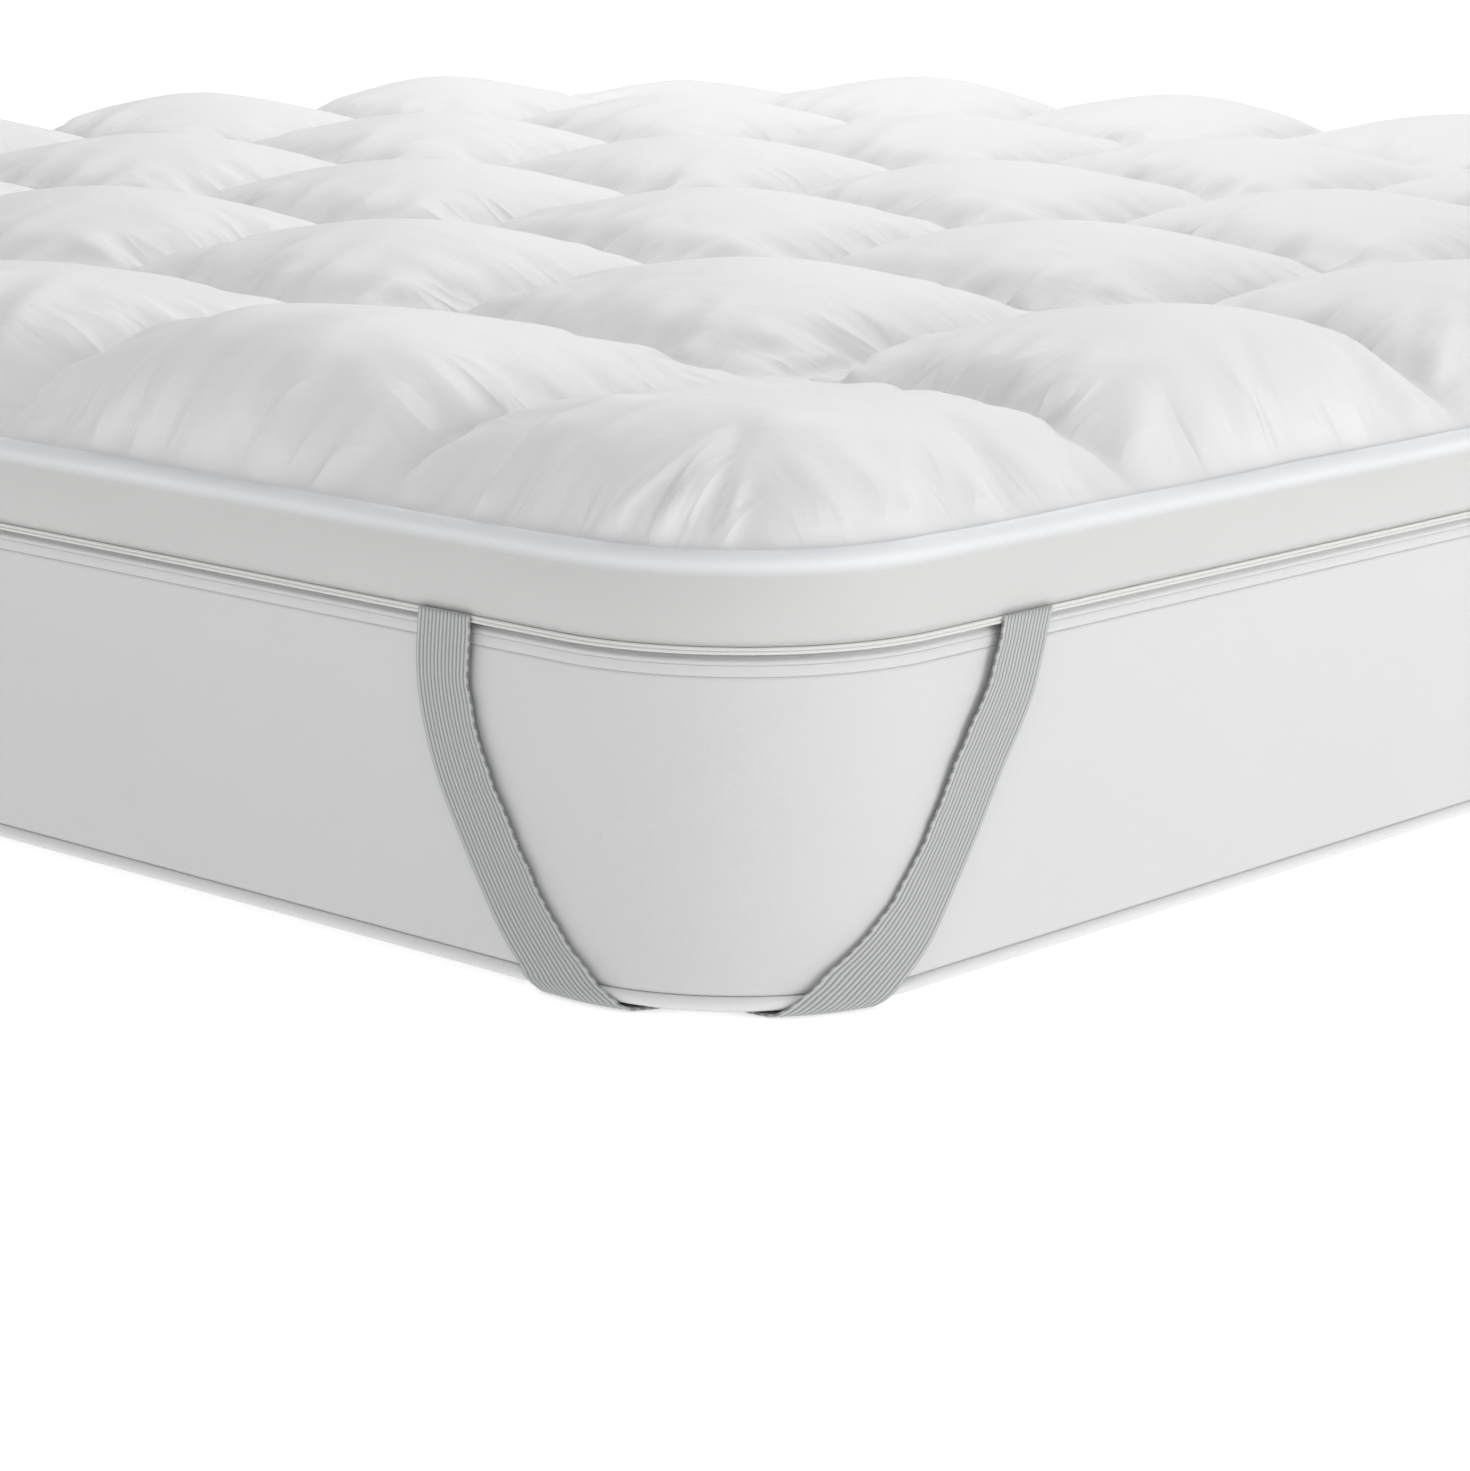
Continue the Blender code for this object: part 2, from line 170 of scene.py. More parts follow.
def new_group(name, inputs, outputs):
    """An empty node group; inputs and outputs are (socket type, name, default) rows."""
    group = bpy.data.node_groups.new(name, "ShaderNodeTree")
    for kind, label, default in inputs:
        socket = group.interface.new_socket(label, in_out="INPUT", socket_type=kind)
        if default is not None:
            socket.default_value = default
    for kind, label, _ in outputs:
        group.interface.new_socket(label, in_out="OUTPUT", socket_type=kind)
    entry = group.nodes.new("NodeGroupInput")
    leave = group.nodes.new("NodeGroupOutput")
    return group, entry.outputs, leave.inputs


def use_group(tree, group, inputs):
    return add_node(tree, "ShaderNodeGroup", inputs, node_tree=group).outputs


def build_weave_group():
    """Plain weave: warp and weft threads that pass over each other in turn."""
    group, given, out = new_group(
        "woven_threads",
        [("NodeSocketVector", "Place", None), ("NodeSocketFloat", "Thread", 0.0006),
         ("NodeSocketFloat", "Slub", 0.3)],
        [("NodeSocketFloat", "Height", None), ("NodeSocketFloat", "Gap", None)])
    noise = add_node(group, "ShaderNodeTexNoise", {"Vector": given["Place"], "Scale": 90.0, "Detail": 2.0})
    wander = math_node(group, "MULTIPLY", noise.outputs["Fac"], given["Slub"])
    axes = add_node(group, "ShaderNodeSeparateXYZ", {0: given["Place"]})
    waves = []
    for axis in ("X", "Y"):
        count = math_node(group, "DIVIDE", axes.outputs[axis], given["Thread"])
        phase = math_node(group, "MULTIPLY_ADD", count, math.pi, wander)
        waves.append(math_node(group, "SINE", phase))
    over = math_node(group, "GREATER_THAN", math_node(group, "MULTIPLY", *waves), 0.0)
    warp, weft = (math_node(group, "ABSOLUTE", wave) for wave in waves)
    height = add_node(group, "ShaderNodeMix", {0: over, 2: warp, 3: weft}, data_type="FLOAT").outputs[0]
    group.links.new(height, out["Height"])
    group.links.new(math_node(group, "SUBTRACT", 1.0, height), out["Gap"])
    return group


def build_cloth_tone_group():
    """Gentle uneven tone of washed cotton: broad clouds, thread flecks, and painted shade in the weave's gaps."""
    group, given, out = new_group(
        "cloth_tone",
        [("NodeSocketColor", "Cloth", (0.8, 0.8, 0.8, 1)), ("NodeSocketColor", "Shade", (0.7, 0.7, 0.7, 1)),
         ("NodeSocketVector", "Place", None), ("NodeSocketFloat", "Clouds", 0.2),
         ("NodeSocketFloat", "Flecks", 0.1), ("NodeSocketFloat", "Gap", 0.0)],
        [("NodeSocketColor", "Colour", None), ("NodeSocketFloat", "Mask", None)])
    clouds = add_node(group, "ShaderNodeTexNoise", {"Vector": given["Place"], "Scale": 5.0, "Detail": 4.0})
    flecks = add_node(group, "ShaderNodeTexNoise", {"Vector": given["Place"], "Scale": 420.0, "Detail": 2.0})
    cloud_share = math_node(group, "MULTIPLY", clouds.outputs["Fac"], given["Clouds"])
    fleck_share = math_node(group, "MULTIPLY", flecks.outputs["Fac"], given["Flecks"])
    both = math_node(group, "ADD", cloud_share, fleck_share)
    # random clouds and flecks, plus painted shade where the weave has gaps
    mask = math_node(group, "MULTIPLY_ADD", given["Gap"], 0.12, both)
    colour = add_node(group, "ShaderNodeMix", {0: mask, 6: given["Cloth"], 7: given["Shade"]},
                      data_type="RGBA").outputs[2]
    group.links.new(colour, out["Colour"])
    group.links.new(mask, out["Mask"])
    return group


def build_rumple_group():
    """Fine soft rumples of cloth that isn't pressed flat."""
    group, given, out = new_group(
        "soft_rumples",
        [("NodeSocketVector", "Place", None), ("NodeSocketFloat", "Scale", 30.0),
         ("NodeSocketFloat", "Stretch", 1.0)],
        [("NodeSocketFloat", "Height", None)])
    squeeze = add_node(group, "ShaderNodeCombineXYZ", {0: 1.0, 1: given["Stretch"], 2: 1.0})
    place = add_node(group, "ShaderNodeVectorMath", {0: given["Place"], 1: squeeze.outputs[0]},
                     operation="MULTIPLY")
    broad = add_node(group, "ShaderNodeTexNoise",
                     {"Vector": place.outputs[0], "Scale": given["Scale"], "Detail": 3.0, "Distortion": 0.6})
    group.links.new(broad.outputs["Fac"], out["Height"])
    return group


def build_pucker_group():
    """Puckers that run off the quilting seams, by place on the pillow map, deepest at the seams."""
    group, given, out = new_group(
        "seam_puckers",
        [("NodeSocketVector", "Pillows", None), ("NodeSocketFloat", "Per Pillow", 14.0),
         ("NodeSocketFloat", "Reach", 0.55)],
        [("NodeSocketFloat", "Height", None)])
    axes = add_node(group, "ShaderNodeSeparateXYZ", {0: given["Pillows"]})
    heights = []
    for along, away, seed in (("X", "Y", 3.0), ("Y", "X", 17.0)):
        part = math_node(group, "FRACT", axes.outputs[away])
        centred = math_node(group, "ABSOLUTE", math_node(group, "SUBTRACT", part, 0.5))
        from_seam = math_node(group, "SUBTRACT", 1.0, math_node(group, "MULTIPLY", centred, 2.0))
        fade = math_node(group, "SUBTRACT", 1.0, math_node(group, "DIVIDE", from_seam, given["Reach"]))
        fade = math_node(group, "POWER", math_node(group, "MAXIMUM", fade, 0.0), 1.4)
        start = math_node(group, "MINIMUM", math_node(group, "MULTIPLY", from_seam, 14.0), 1.0)
        run = math_node(group, "MULTIPLY", axes.outputs[along], given["Per Pillow"])
        pillow = math_node(group, "FLOOR", axes.outputs[away])
        half = math_node(group, "GREATER_THAN", part, 0.5)
        lane = math_node(group, "MULTIPLY_ADD", math_node(group, "MULTIPLY_ADD", pillow, 2.0, half), 7.3, seed)
        drift = math_node(group, "MULTIPLY_ADD", from_seam, 1.6, lane)
        place = add_node(group, "ShaderNodeCombineXYZ", {0: run, 1: drift, 2: seed})
        noise = add_node(group, "ShaderNodeTexNoise",
                         {"Vector": place.outputs[0], "Scale": 1.0, "Detail": 1.0, "Distortion": 0.35})
        ridge = math_node(group, "ABSOLUTE", math_node(group, "MULTIPLY_ADD", noise.outputs["Fac"], 2.0, -1.0))
        ridge = math_node(group, "SUBTRACT", 1.0, math_node(group, "MULTIPLY", ridge, 3.2))
        ridge = math_node(group, "MAXIMUM", ridge, 0.0)
        side = math_node(group, "FRACT", axes.outputs[along])
        side = math_node(group, "ABSOLUTE", math_node(group, "SUBTRACT", side, 0.5))
        side = math_node(group, "MULTIPLY", math_node(group, "SUBTRACT", 0.5, side), 5.0)
        side = math_node(group, "MINIMUM", side, 1.0)
        faded = math_node(group, "MULTIPLY", math_node(group, "MULTIPLY", ridge, fade), start)
        heights.append(math_node(group, "MULTIPLY", faded, side))
    group.links.new(math_node(group, "ADD", *heights), out["Height"])
    return group


GROUPS = {}


def cloth_material(name, colour, shade, thread, roughness, sheen, rumple, clouds=0.25, stretch=1.0,
                   weave_depth=0.00012, pucker=0.0, painted_roll_highlight=None):
    """Cotton cloth: weave, rumples and seam puckers as bump, uneven tone, a soft sheen, and, when asked, a painted
    highlight on the border's rolled top.
    """
    material, tree, shader = new_material(name)
    place = add_node(tree, "ShaderNodeUVMap", uv_map="cloth").outputs["UV"]
    weave = use_group(tree, GROUPS["weave"], {"Place": place, "Thread": thread, "Slub": 0.8})
    tone = use_group(tree, GROUPS["tone"], {
        "Cloth": (*colour, 1), "Shade": (*shade, 1), "Place": place,
        "Clouds": clouds, "Flecks": 0.15, "Gap": weave["Gap"]})
    rumples = use_group(tree, GROUPS["rumple"], {"Place": place, "Scale": 22.0, "Stretch": stretch})
    soft = add_node(tree, "ShaderNodeBump", {
        "Strength": 1.0, "Distance": rumple, "Height": rumples["Height"]})
    if pucker:
        pillows = add_node(tree, "ShaderNodeUVMap", uv_map="pillows").outputs["UV"]
        puckers = use_group(tree, GROUPS["pucker"], {"Pillows": pillows, "Per Pillow": 10.5, "Reach": 0.45})
        soft = add_node(tree, "ShaderNodeBump", {
            "Strength": 1.0, "Distance": pucker, "Height": puckers["Height"], "Normal": soft.outputs[0]})
    fine = add_node(tree, "ShaderNodeBump", {
        "Strength": 0.6, "Distance": weave_depth, "Height": weave["Height"], "Normal": soft.outputs[0]})
    rough = math_node(tree, "MULTIPLY_ADD", tone["Mask"], 0.15, roughness)
    shown = tone["Colour"]
    # painted highlight: a cool white band lightens the border's rolled top edge, chosen by height
    if painted_roll_highlight:
        height = add_node(tree, "ShaderNodeSeparateXYZ", {0: add_node(tree, "ShaderNodeTexCoord").outputs["Object"]})
        highlight_share = add_node(tree, "ShaderNodeMapRange", {
            "Value": height.outputs["Z"], "From Min": BORDER_TOP - 0.0125, "From Max": BORDER_TOP - 0.0065})
        shown = add_node(tree, "ShaderNodeMix", {0: highlight_share.outputs[0], 6: shown, 7: (*painted_roll_highlight, 1)},
                         data_type="RGBA").outputs[2]
    tree.links.new(shown, shader.inputs["Base Color"])
    tree.links.new(rough, shader.inputs["Roughness"])
    tree.links.new(fine.outputs[0], shader.inputs["Normal"])
    shader.inputs["Sheen Weight"].default_value = sheen
    shader.inputs["Sheen Roughness"].default_value = 0.5
    shader.inputs["Specular IOR Level"].default_value = 0.35
    return material


def elastic_material():
    """Grey knitted elastic: painted shade in the grooves between its ribs, cross threads, a pale thread on one edge.
    """
    material, tree, shader = new_material("ribbed_elastic")
    place = add_node(tree, "ShaderNodeUVMap", uv_map="cloth").outputs["UV"]
    axes = add_node(tree, "ShaderNodeSeparateXYZ", {0: place})
    across = axes.outputs["X"]
    along = axes.outputs["Y"]
    ribs = math_node(tree, "MULTIPLY", across, 2 * math.pi * STRAP_RIBS / STRAP_WIDTH)
    rib_wave = math_node(tree, "COSINE", ribs)
    groove = math_node(tree, "MULTIPLY_ADD", rib_wave, 0.5, 0.5)
    groove = math_node(tree, "POWER", groove, 1.6)
    weave = use_group(tree, GROUPS["weave"], {"Place": place, "Thread": 0.0009, "Slub": 0.6})
    tone = use_group(tree, GROUPS["tone"], {
        "Cloth": (0.60, 0.605, 0.61, 1), "Shade": (0.43, 0.435, 0.44, 1), "Place": place,
        "Clouds": 0.35, "Flecks": 0.35, "Gap": weave["Gap"]})
    # painted shade: the grooves between the ribs are darkened towards near black
    groove_shaded_colour = add_node(tree, "ShaderNodeMix", {
        0: math_node(tree, "MULTIPLY", groove, 0.85), 6: tone["Colour"], 7: (0.20, 0.205, 0.21, 1)},
        data_type="RGBA").outputs[2]
    dash = math_node(tree, "GREATER_THAN", math_node(tree, "SINE", math_node(tree, "MULTIPLY", along, 900.0)), 0.1)
    edge = math_node(tree, "GREATER_THAN", across, STRAP_WIDTH / 2 - 0.0011)
    pale = math_node(tree, "MULTIPLY", math_node(tree, "MULTIPLY", dash, edge), 0.35)
    colour = add_node(tree, "ShaderNodeMix", {0: pale, 6: groove_shaded_colour, 7: (0.75, 0.75, 0.75, 1)},
                      data_type="RGBA").outputs[2]
    bump = add_node(tree, "ShaderNodeBump", {"Strength": 0.7, "Distance": 0.00015, "Height": weave["Height"]})
    tree.links.new(colour, shader.inputs["Base Color"])
    tree.links.new(bump.outputs[0], shader.inputs["Normal"])
    shader.inputs["Roughness"].default_value = 0.65
    shader.inputs["Sheen Weight"].default_value = 0.25
    shader.inputs["Specular IOR Level"].default_value = 0.3
    return material


# ---------------------------------------------------------------- mesh helpers

def finish_mesh(name, bm, material, replaces):
    """Turns a bmesh into a shown piece that stands for one CAD node."""
    bmesh.ops.recalc_face_normals(bm, faces=bm.faces[:])
    if bm.calc_volume(signed=True) < 0:
        bmesh.ops.reverse_faces(bm, faces=bm.faces[:])
    mesh = bpy.data.meshes.new(name)
    bm.to_mesh(mesh)
    bm.free()
    return show_mesh(name, mesh, material, replaces)


def show_mesh(name, mesh, material, replaces):
    mesh.materials.clear()
    mesh.materials.append(material)
    mesh.shade_smooth()
    piece = bpy.data.objects.new(name, mesh)
    bpy.context.scene.collection.objects.link(piece)
    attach(piece, "root")
    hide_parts(replaces)
    return piece


def outline_stations(outline, arc_steps, side_step):
    """Points round a rounded rectangle, anticlockwise: place, outward direction, distance along."""
    half_x, half_y, radius = outline
    stations = []
    distance = 0.0
    for quarter, (sign_x, sign_y) in enumerate(((1, 1), (-1, 1), (-1, -1), (1, -1))):
        centre = Vector((sign_x * (half_x - radius), sign_y * (half_y - radius), 0))
        for step in range(arc_steps):
            angle = (quarter + step / arc_steps) * math.pi / 2
            outward = Vector((math.cos(angle), math.sin(angle), 0))
            stations.append((centre + outward * radius, outward, distance + angle_length(step, arc_steps, radius)))
        distance += radius * math.pi / 2
        angle = (quarter + 1) * math.pi / 2
        outward = Vector((math.cos(angle), math.sin(angle), 0))
        start = centre + outward * radius
        length = 2 * (half_x - radius) if quarter % 2 == 0 else 2 * (half_y - radius)
        heading = Vector((-outward.y, outward.x, 0))
        count = round(length / side_step)
        for step in range(count):
            stations.append((start + heading * length * step / count, outward, distance + length * step / count))
        distance += length
    return stations, distance


def angle_length(step, arc_steps, radius):
    return step / arc_steps * math.pi / 2 * radius


def sweep_ring(name, outline, section, material, replaces, wander=None, arc_steps=24, side_step=0.02):
    """Sweeps a closed section of (inset, height) rows round an outline.

    wander(distance, inset, height) gives small shifts of inset and height, as sewn cloth has.
    """
    stations, around = outline_stations(outline, arc_steps, side_step)
    bm = bmesh.new()
    station_of = bm.verts.layers.int.new("station")
    row_of = bm.verts.layers.int.new("row")
    verts = [bm.verts.new() for _ in stations]
    for index, vert in enumerate(verts):
        vert[station_of] = index
    loop = [bm.edges.new((verts[i - 1], verts[i])) for i in range(len(verts))]
    first = loop
    place_row(verts, station_of, row_of, stations, section, 0, wander)
    for row in range(1, len(section)):
        grown = bmesh.ops.extrude_edge_only(bm, edges=loop)["geom"]
        loop = [item for item in grown if isinstance(item, bmesh.types.BMEdge)]
        verts = [item for item in grown if isinstance(item, bmesh.types.BMVert)]
        place_row(verts, station_of, row_of, stations, section, row, wander)
    bmesh.ops.bridge_loops(bm, edges=first + loop)
    lay_ring_cloth(bm, station_of, row_of, stations, section, around)
    return finish_mesh(name, bm, material, replaces)


def place_row(verts, station_of, row_of, stations, section, row, wander):
    inset, height = section[row]
    for vert in verts:
        vert[row_of] = row
        point, outward, distance = stations[vert[station_of]]
        shift_in, shift_up = wander(distance, inset, height) if wander else (0.0, 0.0)
        vert.co = point - outward * (inset + shift_in)
        vert.co.z = height + shift_up


def lay_ring_cloth(bm, station_of, row_of, stations, section, around):
    """Gives a ring its cloth map in metres: along the outline, and along the section."""
    lengths = [0.0]
    for (inset_a, height_a), (inset_b, height_b) in zip(section, section[1:] + section[:1]):
        lengths.append(lengths[-1] + math.hypot(inset_b - inset_a, height_b - height_a))
    girth = lengths[-1]
    layer = bm.loops.layers.uv.new("cloth")
    for face in bm.faces:
        places = [stations[loop.vert[station_of]][2] for loop in face.loops]
        rows = [lengths[loop.vert[row_of]] for loop in face.loops]
        far = max(places) - min(places) > around / 2
        deep = {loop.vert[row_of] for loop in face.loops} == {0, len(section) - 1}
        for loop, place, row in zip(face.loops, places, rows):
            if far and place < around / 2:
                place += around
            if deep and row < girth / 2:
                row += girth
            loop[layer].uv = (place, row)


def waves(distance, seed, rows):
    """A smooth uneven wave from a short table of (amplitude, wavelength) rows."""
    picker = random.Random(seed)
    return sum(height * math.sin(2 * math.pi * distance / length + picker.uniform(0, 2 * math.pi))
               for height, length in rows)


# ---------------------------------------------------------------- quilted pad

def column_edges(total, outer):
    inner = (total - 2 * outer) / (CELLS - 2)
    edges = [-total / 2 + outer + inner * index for index in range(CELLS - 1)]
    return np.array([-total / 2] + edges + [total / 2])


PAD_HALF_X = BORDER_HIGH.x - PAD_EDGE_INSET
PAD_HALF_Y = BORDER_HIGH.y - PAD_EDGE_INSET
PAD_CORNER = TOPPER_CORNER - PAD_EDGE_INSET
COLUMNS = column_edges(2 * PAD_HALF_X, OUTER_COLUMN - PAD_EDGE_INSET)
ROWS = column_edges(2 * PAD_HALF_Y, 2 * BORDER_HIGH.y / CELLS - PAD_EDGE_INSET)


def get_points(mesh):
    points = np.empty(len(mesh.vertices) * 3)
    mesh.vertices.foreach_get("co", points)
    return points.reshape(-1, 3)


def get_normals(mesh):
    normals = np.empty(len(mesh.vertices) * 3)
    mesh.vertices.foreach_get("normal", normals)
    return normals.reshape(-1, 3)


def set_points(mesh, points):
    mesh.vertices.foreach_set("co", points.ravel())
    mesh.update()


def rise(distance):
    return 1 - (1 - np.clip(distance / SEAM_RISE_REACH, 0, 1)) ** 2


def crown_arch(cell, part):
    """Height of the arch across each pillow; the outer pillows' crests lean towards the border."""
    part = np.where(cell == 0, part ** CREST_SHIFT, part)
    part = np.where(cell == CELLS - 1, 1 - (1 - part) ** CREST_SHIFT, part)
    return np.clip(1 - np.abs(2 * part - 1) ** CROWN_BLUNTNESS, 0, 1)


def pad_height(x, y, column, part_x, row, part_y):
    inland = rise(PAD_HALF_X - np.abs(x)) * rise(PAD_HALF_Y - np.abs(y))
    crown = CROWN_HEIGHT * (crown_arch(column, part_x) * crown_arch(row, part_y)) ** CROWN_FULLNESS
    outer = ((column == 0) | (column == CELLS - 1)) & ((row == 0) | (row == CELLS - 1))
    crown = np.where(outer, CORNER_CROWN, 1.0) * crown
    crown = crown * SLACK_CROWN
    return PAD_EDGE_HEIGHT + SEAM_RISE * inland + crown * (1 + BORDER_SWELL * (1 - inland))


def draw_in_corners(x, y):
    over_x = np.abs(x) - (PAD_HALF_X - PAD_CORNER)
    over_y = np.abs(y) - (PAD_HALF_Y - PAD_CORNER)
    inside = (over_x > 0) & (over_y > 0)
    safe_x, safe_y = np.where(inside, over_x, 1.0), np.where(inside, over_y, 1.0)
    draw = np.maximum(safe_x, safe_y) / np.hypot(safe_x, safe_y)
    new_x = np.copysign(PAD_HALF_X - PAD_CORNER + safe_x * draw, x)
    new_y = np.copysign(PAD_HALF_Y - PAD_CORNER + safe_y * draw, y)
    return np.where(inside, new_x, x), np.where(inside, new_y, y)


def cell_places(share, edges):
    """Turns shares of the way across into places, pillow numbers and shares of a pillow."""
    count = share * CELLS
    cell = np.clip(np.floor(count + 1e-6).astype(int), 0, CELLS - 1)
    part = np.clip(count - cell, 0, 1)
    return edges[cell] + part * (edges[cell + 1] - edges[cell]), cell, part


def pad_blank():
    """The pad before filling, still open underneath: a quilted top and a wall down behind the border."""
    bm = bmesh.new()
    bmesh.ops.create_grid(bm, x_segments=CELLS * SIM_STEPS, y_segments=CELLS * SIM_STEPS, size=0.5)
    grid = bm.verts.layers.float_vector.new("grid")
    shares = np.array([vert.co for vert in bm.verts]) + 0.5
    x, column, part_x = cell_places(shares[:, 0], COLUMNS)
    y, row, part_y = cell_places(shares[:, 1], ROWS)
    z = pad_height(x, y, column, part_x, row, part_y)
    x, y = draw_in_corners(x, y)
    for vert, share, place in zip(bm.verts, shares, np.stack([x, y, z], 1)):
        vert.co = place
        vert[grid] = share * CELLS
    wall = (
        (PAD_EDGE_INSET - 0.0030, PAD_EDGE_HEIGHT + 0.0004),
        (PAD_EDGE_INSET - 0.0070, PAD_EDGE_HEIGHT - 0.0025),
        (PAD_WALL_INSET, BORDER_TOP - 0.0100),
        (PAD_WALL_INSET, PAD_LOW.z),
    )
    loop = [edge for edge in bm.edges if edge.is_boundary]
    before = PAD_EDGE_INSET
    for inset, height in wall:
        grown = bmesh.ops.extrude_edge_only(bm, edges=loop)["geom"]
        loop = [item for item in grown if isinstance(item, bmesh.types.BMEdge)]
        for vert in (item for item in grown if isinstance(item, bmesh.types.BMVert)):
            vert.co += outward_at(vert.co, before) * (before - inset)
            vert.co.z = height
        before = inset
    bmesh.ops.recalc_face_normals(bm, faces=bm.faces[:])
    lay_pad_cloth(bm, grid)
    mesh = bpy.data.meshes.new("quilted_topper_pad")
    bm.to_mesh(mesh)
    bm.free()
    return mesh


def outward_at(point, inset):
    edge_x = BORDER_HIGH.x - TOPPER_CORNER
    edge_y = BORDER_HIGH.y - TOPPER_CORNER
    over = Vector((abs(point.x) - edge_x, abs(point.y) - edge_y, 0))
    if min(over.x, over.y) <= 0:
        over = Vector((1, 0, 0)) if over.x > over.y else Vector((0, 1, 0))
    outward = over.normalized()
    return Vector((math.copysign(outward.x, point.x), math.copysign(outward.y, point.y), 0))


def lay_pad_cloth(bm, grid):
    """Two maps on the pad: its cloth in metres, and its pillows, which count from 0 to 6 each way."""
    cloth = bm.loops.layers.uv.new("cloth")
    pillows = bm.loops.layers.uv.new("pillows")
    for face in bm.faces:
        for loop in face.loops:
            place = loop.vert[grid]
            loop[cloth].uv = (place.x * 0.337, place.y * 0.340)
            loop[pillows].uv = place.xy


def creases(generator, length, count, reach, width, height):
    """Random soft creases that start on one side of a pillow, one row each."""
    slots = (np.arange(count) + generator.uniform(0.15, 0.85, count)) / count
    return np.stack([
        length * (0.04 + 0.92 * slots),
        generator.uniform(-0.35, 0.35, count) + 0.5 * (0.5 - slots),
        reach * generator.uniform(0.55, 1.25, count),
        width * generator.uniform(0.7, 1.4, count),
        height * generator.uniform(0.45, 1.2, count)], 1)


def crease_height(along, away, length, rows):
    """Height of the creases at points this far along a seam and away from it."""
    total = np.zeros_like(along)
    for start, slant, reach, width, height in rows:
        shift = (along - start - slant * away) / (width * (1 + 1.2 * away / reach))
        fade = np.clip(1 - away / reach, 0, 1) ** 1.5 * np.clip(away / 0.010, 0, 1)
        fade = fade * np.clip(np.minimum(along, length - along) / 0.05, 0, 1)
        total += height * fade * (1 - 1.4 * shift ** 2) * np.exp(-shift ** 2)
    return total


def crease_field(pillow_x, pillow_y):
    """Puckers of every pillow, by place on the pillow map: strongest on its foot side and right side."""
    generator = np.random.default_rng(41)
    cell_x = np.clip(np.floor(pillow_x).astype(int), 0, CELLS - 1)
    cell_y = np.clip(np.floor(pillow_y).astype(int), 0, CELLS - 1)
    height = np.zeros_like(pillow_x)
    for column in range(CELLS):
        for row in range(CELLS):
            wide = COLUMNS[column + 1] - COLUMNS[column]
            long = ROWS[row + 1] - ROWS[row]
            here = (cell_x == column) & (cell_y == row)
            x = (pillow_x[here] - column) * wide
            y = (pillow_y[here] - row) * long
            foot = row == 0
            sides = (   # along, away, seam length, count, reach, width, height
                (x, y, wide, 6 if foot else 9, 0.17 if foot else 0.14, 0.0115 if foot else 0.010,
                 0.0088 if foot else 0.0066),
                (y, wide - x, long, 7, 0.11, 0.011, 0.0034),
                (x, long - y, wide, 8, 0.09, 0.010, 0.0036),
                (y, x, long, 8, 0.12, 0.011, 0.0042),
            )
            for along, away, length, count, reach, width, depth in sides:
                picked = creases(generator, length, count, reach, width, depth)
                height[here] += crease_height(along, away, length, picked)
    return height


def fill_pad(piece):
    """Fills the pillows: the sewn channels and the edge are held while pressure lifts the cloth."""
    mesh = piece.data
    sewn = piece.vertex_groups.new(name="sewn")
    pillow_x, pillow_y = pillow_places(mesh)
    on_seam = (np.abs(pillow_x - np.round(pillow_x)) < 0.01) | (np.abs(pillow_y - np.round(pillow_y)) < 0.01)
    low = get_points(mesh)[:, 2] < PAD_EDGE_HEIGHT + 0.001
    held = np.nonzero(on_seam | low)[0]
    sewn.add([int(index) for index in held], 1.0, "REPLACE")
    start = get_points(mesh)
    cloth = piece.modifiers.new("filling", "CLOTH")
    settings = cloth.settings
    settings.quality = 5
    settings.mass = 0.25
    settings.tension_stiffness = 12
    settings.compression_stiffness = 8
    settings.shear_stiffness = 4
    settings.bending_stiffness = 0.6
    settings.use_pressure = True
    settings.uniform_pressure_force = 4
    settings.shrink_min = -0.035
    settings.vertex_group_mass = "sewn"
    settings.effector_weights.gravity = 0
    cloth.collision_settings.use_self_collision = False
    cloth.collision_settings.use_collision = False
    scene = bpy.context.scene
    for number in range(1, FILL_FRAMES + 1):
        scene.frame_set(number)
    filled = bpy.data.meshes.new_from_object(piece.evaluated_get(bpy.context.evaluated_depsgraph_get()))
    moved = get_points(filled) - start
    far = np.linalg.norm(moved, axis=1, keepdims=True)
    moved *= np.minimum(1, FILL_CAP / np.maximum(far, 1e-9))
    piece.modifiers.clear()
    piece.vertex_groups.clear()
    scene.frame_set(1)
    set_points(mesh, start + moved)


FILL_FRAMES = 16
FILL_CAP = 0.010
SLACK_CROWN = 0.84            # crown of the pad before filling, as a share of the filled one


def pillow_places(mesh):
    """Each vertex's place on the pillow map."""
    corners = np.empty(len(mesh.loops) * 2)
    mesh.uv_layers["pillows"].data.foreach_get("uv", corners)
    owners = np.empty(len(mesh.loops), dtype=int)
    mesh.loops.foreach_get("vertex_index", owners)
    places = np.zeros((len(mesh.vertices), 2))
    places[owners] = corners.reshape(-1, 2)
    return places[:, 0], places[:, 1]


def subdivided(piece):
    smooth = piece.modifiers.new("smooth", "SUBSURF")
    smooth.levels = 1
    smooth.render_levels = 1
    mesh = bpy.data.meshes.new_from_object(piece.evaluated_get(bpy.context.evaluated_depsgraph_get()))
    piece.modifiers.clear()
    old = piece.data
    piece.data = mesh
    bpy.data.meshes.remove(old)


def close_underside(mesh):
    bm = bmesh.new()
    bm.from_mesh(mesh)
    cloth = bm.loops.layers.uv["cloth"]
    rim = [edge for edge in bm.edges if edge.is_boundary]
    for face in bmesh.ops.contextual_create(bm, geom=rim)["faces"]:
        for loop in face.loops:
            loop[cloth].uv = loop.vert.co.xy
    bmesh.ops.recalc_face_normals(bm, faces=bm.faces[:])
    bm.to_mesh(mesh)
    bm.free()


